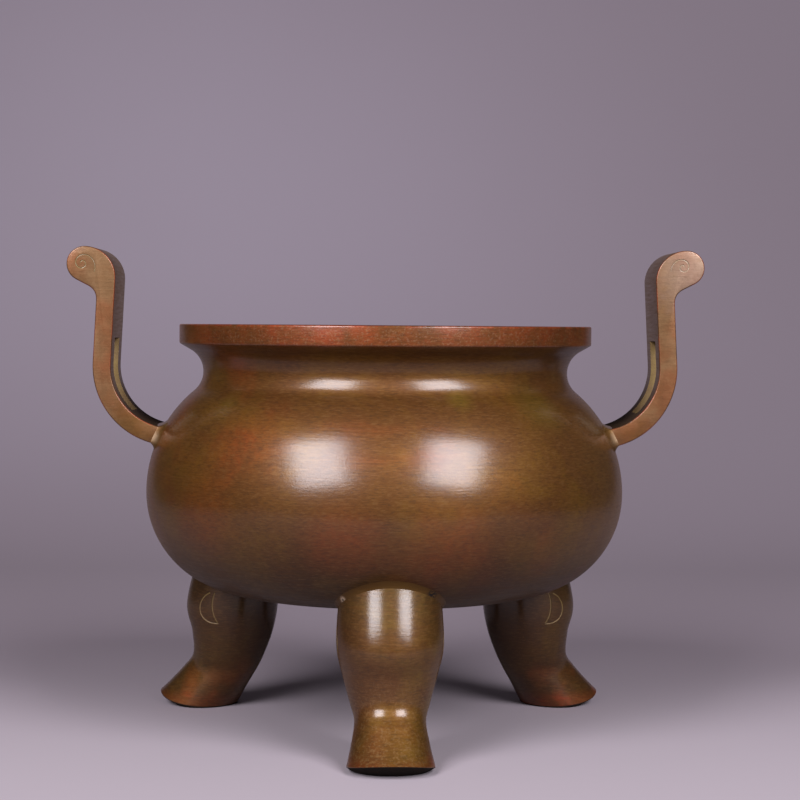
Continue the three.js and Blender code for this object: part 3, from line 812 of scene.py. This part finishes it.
class BURNER_OT_bowl(Operator):
    """Makes the bowl with its neck and rim, as one turned form."""

    bl_idname = "burner.bowl"
    bl_label = "Bowl"

    def execute(self, context):
        bowl = context.scene.burner_bowl
        outer = bowl_side(bowl, 0, degrees(bowl.neck_turn))
        inner = bowl_side(bowl, -bowl.wall, degrees(bowl.mouth_flare))
        section = outer + rim_section(bowl, outer[-1], inner[-1]) + inner[::-1]
        spine = bowl.neck_radius
        source = lines_object("section", [[Vector((r - spine, -z, 0)) for r, z in section]])
        values = {"Sides": bowl.sides, "Spine": spine, "Material": finish_named("bowl")}
        mesh = by_nodes("bowl", source, turned_tree(), values)
        mesh.transform(Matrix.Translation((0, AXIS_Y, 0)))
        smooth(mesh, 28)
        place_piece(mesh, "bowl", ["vessel_body"])
        return {"FINISHED"}


# Handles


def bend_centre(bowl, strap):
    across = bowl.belly_radius + strap.standoff - strap.bend
    return Vector((across, bowl.belly_height + strap.rise + strap.bend))


def slab(name, outline, width, arris=0.0):
    """An outline in the plane of the axis, thickened evenly to both sides, with rounded arrises."""
    bm = bmesh.new()
    face = bm.faces.new([bm.verts.new((x, -width / 2, z)) for x, z in outline])
    pushed = bmesh.ops.extrude_face_region(bm, geom=[face])
    moved = [v for v in pushed["geom"] if isinstance(v, bmesh.types.BMVert)]
    bmesh.ops.translate(bm, verts=moved, vec=(0, width, 0))
    bmesh.ops.recalc_face_normals(bm, faces=bm.faces)
    if arris:
        edges = [e for e in bm.edges if abs(e.verts[0].co.y - e.verts[1].co.y) < 1e-9]
        bmesh.ops.bevel(
            bm, geom=edges, offset=arris, segments=4, profile=0.5, affect="EDGES", clamp_overlap=False
        )
    return mesh_of(name, bm)


def head_parts(bowl, strap):
    """The strap's two directions, its end, and the middles of the head's crown and bulb."""
    up = Vector((-sin(strap.lean), cos(strap.lean)))
    out = Vector((up.y, -up.x))
    end = bend_centre(bowl, strap) + out * strap.bend + up * strap.upright
    crown = end + out * (strap.crown - strap.thickness / 2)
    bulb = Vector((crown.x, crown.y + strap.crown - strap.bulb))
    return up, out, end, crown, bulb


def handle_outline(bowl, strap):
    """Outline of a handle, from inside the wall round the bend and over the rolled head."""
    up, out, end, crown, bulb = head_parts(bowl, strap)
    centre, half = bend_centre(bowl, strap), strap.thickness / 2
    lean, under, root = degrees(strap.lean), strap.underside, -degrees(strap.root_turn)
    along = Vector((cos(under), sin(under)))
    tangent = bulb + Vector((along.y, -along.x)) * strap.bulb
    face = end + out * half
    crook = tangent - along * ((tangent - face).dot(out) / along.dot(out))
    points = arc(*centre, strap.bend + half, root, lean, 2.5)
    hollow, steps = strap.crook * 1.6, 10  # reach of the rounded crook, and points on each straight run
    below, beyond = crook - up * hollow, crook + along * hollow
    points += [tuple(Vector(points[-1]).lerp(below, i / steps)) for i in range(1, steps)]
    points += [tuple(p) for p in bezier([below, crook, beyond], 6)]
    points += arc(*bulb, strap.bulb - HAIR, degrees(under) - 90, 90, 5)
    points += arc(*crown, strap.crown - HAIR, 90, 180 + lean, 4)[1:]
    inner = arc(*centre, strap.bend - half, lean, root, 2.5)
    points += [tuple(Vector(points[-1]).lerp(Vector(inner[0]), i / steps)) for i in range(1, steps)]
    return points + inner


def slot_outline(bowl, strap):
    """Outline of the cutter for the slot, wider than the strap is thick."""
    centre, half = bend_centre(bowl, strap), strap.thickness
    lean, turn = degrees(strap.lean), degrees(strap.slot_turn)
    up = Vector((-sin(strap.lean), cos(strap.lean))) * strap.slot_upright
    outer = arc(*centre, strap.bend + half, lean - turn, lean, 2.5)
    inner = arc(*centre, strap.bend - half, lean, lean - turn, 2.5)
    lifted = [tuple(Vector(outer[-1]) + up), tuple(Vector(inner[0]) + up)]
    return outer + lifted + inner


def volute(bowl, strap, side, drawing):
    """The engraved volute on one side of the head: it starts in an eye and opens towards the strap."""
    bulb = head_parts(bowl, strap)[-1]
    from_end, below, turn, size = drawing
    eye = Vector((bulb.x + strap.bulb - from_end * MM, bulb.y - below * MM))
    points, steps = [], 72
    for i in range(steps + 1):
        share = i / steps
        reach = size * (0.5 + 2.5 * share + 2.3 * share**6) * MM
        angle = radians(turn * share)
        x, z = eye.x + reach * cos(angle), eye.y + reach * sin(angle)
        points.append(Vector((x, side * strap.width / 2, z)))
    return points


def hammered_head(centre, normal, spread_along, spread_across, height):
    """A low dome hammered out of a tenon's end, uneven from the blows, nearly flat behind."""
    along = Vector((0, 1, 0))
    across = normal.cross(along).normalized()
    bm = bmesh.new()
    bmesh.ops.create_uvsphere(bm, u_segments=48, v_segments=24, radius=1)
    for vert in bm.verts:
        dent = 1 + DENT_DEPTH * noise.noise(vert.co * DENT_SCALE + DENT_PLACE)
        lift = vert.co.z * (height if vert.co.z > 0 else 0.5 * MM)
        spread = along * vert.co.x * spread_along + across * vert.co.y * spread_across
        vert.co = centre + spread * dent + normal * lift * dent
    return mesh_of("head", bm)


def root_angle(bowl, strap, radius, across, offset):
    """The angle round the bend at which a line of the strap comes to the shoulder, moved out by an offset."""
    shoulder = bowl_centres(bowl)[1]

    def inside(angle):
        x, y, z = bend_point(bowl, strap, radius, across, angle)
        return hypot(hypot(x, y) - shoulder[0], z - shoulder[1]) < bowl.shoulder_arc + offset

    return crossing(-120.0, 0.0, inside, steps=40)


def bend_point(bowl, strap, radius, across, angle):
    centre = bend_centre(bowl, strap)
    return Vector((centre.x + radius * cos(radians(angle)), across, centre.y + radius * sin(radians(angle))))


def joined(name, meshes):
    """Several meshes as one, each keeping its materials."""
    bm = bmesh.new()
    made = bpy.data.meshes.new(name)
    for mesh in meshes:
        first = len(made.materials)
        for material in mesh.materials:
            made.materials.append(material)
        start = len(bm.faces)
        bm.from_mesh(mesh)
        bm.faces.ensure_lookup_table()
        for face in bm.faces[start:]:
            face.material_index += first
    bm.to_mesh(made)
    bm.free()
    return made


def handle_mesh(bowl, strap, joints, drawing):
    """One handle on the +X side: slotted strap, engraved head and hammered tenon."""
    mesh = slab("strap", handle_outline(bowl, strap), strap.width, strap.arris)
    for key in ("strap", "face", "arris"):
        mesh.materials.append(finish_named(key))
    for polygon in mesh.polygons:
        level = abs(polygon.normal.y)
        polygon.material_index = 1 if level > FLANK else 2 if level > BROAD_FACE else 0
    strap_object = new_object("strap", mesh)
    cutter_mesh = slab("slot", slot_outline(bowl, strap), strap.slot_width)
    line = finish_named("line")
    cutter_mesh.materials.append(line)
    cutter = new_object("slot", cutter_mesh)
    lines = lines_object("volutes", [volute(bowl, strap, side, drawing) for side in (1, -1)])
    values = {"Lines": lines, "Half width": strap.line, "Cutter": cutter, "Line material": line}
    carved = by_nodes("handle", strap_object, engraved_tree(), values)
    drop(cutter, lines)
    angle = root_angle(bowl, strap, strap.bend, 0, -bowl.wall)
    centre = bend_point(bowl, strap, strap.bend, 0, angle)
    shoulder = bowl_centres(bowl)[1]
    inward = -Vector((centre.x - shoulder[0], 0, centre.z - shoulder[1])).normalized()
    spread = [size / 2 + joints.head_spread for size in (strap.tenon_width, strap.tenon_thickness)]
    head = hammered_head(centre, inward, *spread, joints.head_height)
    head.materials.append(finish_named("braze"))
    return joined("handle", [carved, head])


class BURNER_OT_handles(Operator):
    """Makes both strap handles, with their slots, engraved heads and hammered tenons."""

    bl_idname = "burner.handles"
    bl_label = "Handles"

    def execute(self, context):
        scene = context.scene
        for node, azimuth in HANDLES.items():
            mesh = handle_mesh(scene.burner_bowl, scene.burner_handles, scene.burner_joints, VOLUTES[node])
            mesh.transform(upright_axis(azimuth))
            smooth(mesh)
            place_piece(mesh, "slotted_" + node, [node])
        return {"FINISHED"}


# Legs


def along_spline(values, share):
    """A smooth line through values at even spacing, at a share of its length."""
    place = share * (len(values) - 1)
    i = min(int(place), len(values) - 2)
    t = place - i
    p0, p1 = values[max(i - 1, 0)], values[i]
    p2, p3 = values[i + 1], values[min(i + 2, len(values) - 1)]
    v0, v1 = (p2 - p0) / 2, (p3 - p1) / 2
    return (2 * p1 - 2 * p2 + v0 + v1) * t**3 + (3 * p2 - 3 * p1 - 2 * v0 - v1) * t**2 + v0 * t + p1


def leg_section(share):
    """Height, reach outward, width and depth of a leg's section at a share of its height."""
    return [along_spline([size * MM for size in sizes], share) for sizes in zip(*LEG_SECTIONS)]


def leg_point(bowl, legs, share, angle, growth=0.0):
    """A point of a leg's surface at a share of its height and an angle round it, grown evenly."""
    height, reach, width, depth = leg_section(share)
    lift = along_spline([legs.toe_lift] + [0.0] * (len(LEG_SECTIONS) - 1), share)
    x = bowl.belly_radius - legs.inset + reach + (depth / 2 + growth) * cos(angle)
    return Vector((x, (width / 2 + growth) * sin(angle), height + lift * ((1 + cos(angle)) / 2) ** 2))


def share_at(bowl, legs, angle, height, growth=0.0):
    """How far up the leg its surface comes to a height."""
    return crossing(0.0, 1.0, lambda share: leg_point(bowl, legs, share, angle, growth).z < height)


def seat_share(bowl, legs, angle, growth, offset):
    """How far up the leg's surface meets the belly's underside, moved out by an offset."""

    def below(share):
        point = leg_point(bowl, legs, share, angle, growth)
        return point.z < under_height(bowl, hypot(point.x, point.y), offset)

    return crossing(0.6, 1.0, below)


def sole_ring(bowl, legs, angles, size):
    """A ring on the sole's flat patch, at a share of its size."""
    reach, width, depth = (v * MM for v in SOLE)
    middle = bowl.belly_radius - legs.inset + reach
    return [Vector((middle + size * depth / 2 * cos(a), size * width / 2 * sin(a), 0)) for a in angles]


def leg_skin(bowl, legs):
    """The leg's skin: sole, hoof and shaft up to the belly, closed under it."""
    angles = [2 * pi * i / legs.sides for i in range(legs.sides)]
    # The sole is flat and lifts a little at its rim. From there it runs to the hoof's edge, slightly
    # below a straight line, and the edge itself is drawn in a little, which rounds it.
    lift, sag, inward = 0.06 * MM, 0.15 * MM, 0.12 * MM
    rings = [sole_ring(bowl, legs, angles, size) for size in (0.02, 0.35, 0.7, 0.94)]
    sole = sole_ring(bowl, legs, angles, 1.0)
    rings.append([p + Vector((0, 0, lift)) for p in sole])
    edge = [leg_point(bowl, legs, 0.0, a) for a in angles]
    for share in (0.3, 0.6, 0.85, 0.95):
        rings.append([a.lerp(b, share) + Vector((0, 0, -sag * share)) for a, b in zip(sole, edge)])
    centre = Vector((bowl.belly_radius - legs.inset + LEG_SECTIONS[0][1] * MM, 0, 0))
    rings.append([p + (centre - p).normalized() * inward for p in edge])
    seats = [seat_share(bowl, legs, a, 0.0, LEG_GAP) for a in angles]
    for k in range(1, legs.rings + 1):
        share = (k / legs.rings) ** 1.05  # a little closer together at the hoof
        rings.append([leg_point(bowl, legs, max(seat * share, 0.006), a) for a, seat in zip(angles, seats)])
    top = rings[-1]
    hub = sum(top, Vector()) / len(top)
    for share in (0.75, 0.5, 0.25, 0.02):
        flat = [hub.lerp(p, share) for p in top]
        rings.append([Vector((p.x, p.y, under_height(bowl, hypot(p.x, p.y), LEG_GAP))) for p in flat])
    return skin("leg", rings, True)


def flank_line(bowl, legs, side, points):
    """A drawn line laid on one flank of a leg."""
    path = []
    for reach, height in points:
        share = share_at(bowl, legs, pi / 2, height * MM)
        _, middle, _, depth = leg_section(share)
        angle = acos(max(-1, min(1, (reach * MM - middle) / (depth / 2))))
        path.append(leg_point(bowl, legs, share, side * angle))
    return path


def leg_mesh(bowl, legs, joints):
    """One leg on the +X side, with its engraved crescents and hammered tenon."""
    mesh = leg_skin(bowl, legs)
    smooth(mesh)
    mesh.materials.append(finish_named("leg"))
    mesh.materials.append(finish_named("scale"))
    # The underside's rows are the first faces, and its cap is the last but one.
    for polygon in mesh.polygons:
        under = polygon.index < UNDERSIDE_RINGS * legs.sides or polygon.index == len(mesh.polygons) - 2
        polygon.material_index = int(under)
    solid = new_object("leg", mesh)
    crescent = [bezier(drawn, 36) for drawn in (CRESCENT_OUTER, CRESCENT_INNER)]
    paths = [flank_line(bowl, legs, side, points) for side in (1, -1) for points in crescent]
    lines = lines_object("crescents", paths)
    values = {"Lines": lines, "Half width": legs.line, "Line material": finish_named("line")}
    carved = by_nodes("leg", solid, engraved_tree(), values)
    drop(lines)
    middle = bowl.belly_radius - legs.inset
    floor = Vector((middle, 0, under_height(bowl, middle, -bowl.wall)))
    under = bowl_centres(bowl)[0]
    inward = Vector((under[0] - floor.x, 0, under[1] - floor.z)).normalized()
    spread = legs.tenon + joints.head_spread
    head = hammered_head(floor, inward, spread, spread, joints.head_height)
    head.materials.append(finish_named("braze"))
    return joined("leg", [carved, head])


class BURNER_OT_legs(Operator):
    """Makes the three hoofed legs, with their engraved crescents and hammered tenons."""

    bl_idname = "burner.legs"
    bl_label = "Legs"

    def execute(self, context):
        scene = context.scene
        form = leg_mesh(scene.burner_bowl, scene.burner_legs, scene.burner_joints)
        smooth(form)
        for node, azimuth in LEGS.items():
            mesh = form.copy()
            mesh.transform(upright_axis(azimuth + degrees(scene.burner_legs.twist)))
            place_piece(mesh, "hoofed_" + node, [node])
        return {"FINISHED"}


class BURNER_OT_cores(Operator):
    """Gives the clay cores inside the legs their fired clay."""

    bl_idname = "burner.cores"
    bl_label = "Clay cores"

    def execute(self, context):
        for node in LEGS:
            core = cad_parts[node + "_core"]
            for slot in core.material_slots:
                slot.material = finish_named("clay")
            if not core.material_slots:
                core.data.materials.append(finish_named("clay"))
        return {"FINISHED"}


# Joints

BEAD_INSET = 0.1 * MM  # how far a fillet reaches under the surfaces that it joins
BEAD_STEP = 1.5 * MM  # between a fillet's sections


def bead(corner, along, across):
    """Section of a fillet: hollow between its two toes."""
    middle = along.lerp(across, 0.5)
    return [corner] + bezier([along, corner.lerp(middle, 0.55), across], 7)


def handle_bead(bowl, strap, joints):
    """The filed brass fillet round the root of a handle."""
    size, corner_radius = joints.handle_bead, strap.arris
    # The strap's outline, just under its surface: thickness, width, and the way out at each point
    outline = []
    for sx, sy in ((1, 1), (-1, 1), (-1, -1), (1, -1)):
        for turn in (0, 30, 60, 90) if sx * sy > 0 else (90, 60, 30, 0):
            out = (sx * cos(radians(turn)), sy * sin(radians(turn)))
            thick = sx * (strap.thickness / 2 - corner_radius) + out[0] * (corner_radius - BEAD_INSET)
            across = sy * (strap.width / 2 - corner_radius) + out[1] * (corner_radius - BEAD_INSET)
            outline.append((thick, across, out))
    rings = []
    for (thick, across, out), (next_thick, next_across, next_out) in zip(outline, outline[1:] + outline[:1]):
        count = max(1, round(hypot(next_thick - thick, next_across - across) / BEAD_STEP))
        for k in range(count):
            share = k / count
            way = Vector(out).lerp(Vector(next_out), share).normalized()
            radius = strap.bend + (thick + (next_thick - thick) * share)
            place = across + (next_across - across) * share
            angle = root_angle(bowl, strap, radius, place, -BEAD_INSET)
            corner = bend_point(bowl, strap, radius, place, angle)
            along = bend_point(bowl, strap, radius, place, angle + degrees(size / radius))
            toe = (radius + way.x * size, place + way.y * size)
            toe_angle = root_angle(bowl, strap, *toe, -BEAD_INSET)
            rings.append(bead(corner, along, bend_point(bowl, strap, *toe, toe_angle)))
    return skin("fillet", rings, False)


def leg_bead(bowl, legs, joints):
    """The filed brass fillet round the top of a leg."""
    rings, size = [], joints.leg_bead
    for i in range(legs.sides):
        angle = 2 * pi * i / legs.sides
        seats = [seat_share(bowl, legs, angle, growth, -BEAD_INSET) for growth in (-BEAD_INSET, size)]
        corner = leg_point(bowl, legs, seats[0], angle, -BEAD_INSET)
        toe = leg_point(bowl, legs, seats[1], angle, size)
        low = share_at(bowl, legs, angle, corner.z - size, -BEAD_INSET)
        rings.append(bead(corner, leg_point(bowl, legs, low, angle, -BEAD_INSET), toe))
    return skin("fillet", rings, False)


class BURNER_OT_fillets(Operator):
    """Makes the brass fillets at the joints of handles and legs."""

    bl_idname = "burner.fillets"
    bl_label = "Brazed fillets"

    def execute(self, context):
        scene = context.scene
        bowl, legs, joints = scene.burner_bowl, scene.burner_legs, scene.burner_joints
        for form, nodes, twist in (
            (handle_bead(bowl, scene.burner_handles, joints), HANDLES, 0.0),
            (leg_bead(bowl, legs, joints), LEGS, degrees(legs.twist)),
        ):
            smooth(form)
            form.materials.append(finish_named("braze"))
            for node, azimuth in nodes.items():
                mesh = form.copy()
                mesh.transform(upright_axis(azimuth + twist))
                place_piece(mesh, node + "_fillet", [node + "_braze"])
        return {"FINISHED"}


# Stage

SWEEP_HALF_WIDTH, SWEEP_FRONT, SWEEP_BACK, SWEEP_BEND, SWEEP_HEIGHT = 0.6, 0.45, 0.45, 0.7, 2.2
# The right soft box, which the left one mirrors, and its turn round its own line of sight in degrees
BOX_PLACE, BOX_AIM, BOX_SIZE, BOX_TINT = (0.6, -0.86, 0.74), (0, 0, 0.09), (0.5, 0.8), (0.98, 0.97, 1.04)
BOX_ROLL = -20
ROOM, BEYOND_PAPER = "#cfc6cc", "#857b87"  # what lights the burner from all round, and what the camera sees
# The camera that was fitted to the photograph: its place in millimetres, then degrees to the right, down and
# round its own line of sight
CAMERA_PLACE = (-8.28, -713.0, 145.94)
CAMERA_TURN = (1.095, 2.2156, 0.425)
SENSOR, LENS = 36, 88.6


def sweep_mesh():
    """A paper sweep: floor in front, a smooth bend, and a wall behind."""
    profile = [(-SWEEP_FRONT, 0.0), (-SWEEP_FRONT / 3, 0.0), (0.0, 0.0)]
    profile += arc(SWEEP_BACK, SWEEP_BEND, SWEEP_BEND, -90, 0, 3)
    profile.append((SWEEP_BACK + SWEEP_BEND, SWEEP_HEIGHT))
    places = [SWEEP_HALF_WIDTH * share for share in (-1, -1 / 3, 0, 1 / 3, 1)]
    rings = [[Vector((x, y, z)) for y, z in profile] for x in places]
    bm = bmesh.new()
    rows = [[bm.verts.new(p) for p in ring] for ring in rings]
    for left, right in zip(rows, rows[1:]):
        for i in range(len(left) - 1):
            bm.faces.new((left[i], right[i], right[i + 1], left[i + 1]))
    mesh = mesh_of("paper_sweep", bm)
    mesh.shade_smooth()
    return mesh


def soft_box(name, side, power):
    """A soft box on one side of the camera, turned to the burner."""
    data = bpy.data.lights.new(name, "AREA")
    data.shape, (data.size, data.size_y) = "RECTANGLE", BOX_SIZE
    data.energy, data.color = power, BOX_TINT
    lamp = new_object(name, data)
    lamp.location = Vector(BOX_PLACE) * Vector((side, 1, 1))
    facing = (Vector(BOX_AIM) - lamp.location).to_track_quat("-Z", "Y").to_matrix()
    lamp.rotation_euler = (facing @ Matrix.Rotation(radians(side * BOX_ROLL), 3, "Z")).to_euler()


def make_camera():
    """The photograph's view: from a little above the rim, looking slightly down and slightly to the right."""
    data = bpy.data.cameras.new("camera")
    data.sensor_width, data.lens = SENSOR, LENS
    data.clip_start, data.clip_end = 0.05, 20
    camera = new_object("camera", data)
    right, down, roll = CAMERA_TURN
    turn = Matrix.Rotation(radians(-right), 4, "Z") @ Matrix.Rotation(radians(90 - down), 4, "X")
    place = Matrix.Translation([millimetres * MM for millimetres in CAMERA_PLACE])
    camera.matrix_world = place @ turn @ Matrix.Rotation(radians(roll), 4, "Z")
    bpy.context.scene.camera = camera


class BURNER_OT_stage(Operator):
    """Makes the paper sweep, the two soft boxes, the room's light and the camera."""

    bl_idname = "burner.stage"
    bl_label = "Stage"

    def execute(self, context):
        scene = context.scene
        settings = scene.burner_stage
        make_camera()
        sweep = new_object("paper_sweep", sweep_mesh())
        sweep.data.materials.append(backdrop_paper(settings))
        soft_box("soft_box_left", -1, settings.key_power)
        soft_box("soft_box_right", 1, settings.key_power)
        world = bpy.data.worlds.new("room")
        scene.world = world
        world.use_nodes = True
        tree = world.node_tree
        tree.nodes.clear()
        seen = add(tree, "ShaderNodeLightPath").outputs["Is Camera Ray"]
        room = (*[settings.fill * c for c in linear(ROOM)[:3]], 1.0)
        shown = add(tree, "ShaderNodeMix", COLOURS, {0: seen, 6: room, 7: linear(BEYOND_PAPER)})
        shade = add(tree, "ShaderNodeBackground", None, {"Color": shown, "Strength": 1.0})
        add(tree, "ShaderNodeOutputWorld", None, {"Surface": shade})
        scene.view_settings.view_transform = "Standard"
        return {"FINISHED"}


class BURNER_PT_panel(Panel):
    """Lists the burner's pieces and their settings."""

    bl_label = "Tripod incense burner"
    bl_idname = "BURNER_PT_panel"
    bl_space_type = "VIEW_3D"
    bl_region_type = "UI"
    bl_category = "Burner"

    def draw(self, context):
        for operator in OPERATORS:
            self.layout.operator(operator.bl_idname)
        for name, group in GROUPS.items():
            box = self.layout.box()
            for key in group.__annotations__:
                box.prop(getattr(context.scene, name), key)


OPERATORS = (
    BURNER_OT_stage,
    BURNER_OT_bowl,
    BURNER_OT_handles,
    BURNER_OT_legs,
    BURNER_OT_fillets,
    BURNER_OT_cores,
)
CLASSES = (*GROUPS.values(), *OPERATORS, BURNER_PT_panel)


def register():
    for cls in CLASSES:
        bpy.utils.register_class(cls)
    for name, group in GROUPS.items():
        setattr(bpy.types.Scene, name, PointerProperty(type=group))


def unregister():
    for name in GROUPS:
        delattr(bpy.types.Scene, name)
    for cls in reversed(CLASSES):
        bpy.utils.unregister_class(cls)


def main():
    register()
    for name in ("stage", "bowl", "handles", "legs", "fillets", "cores"):
        getattr(bpy.ops.burner, name)()


if __name__ == "__main__":
    main()
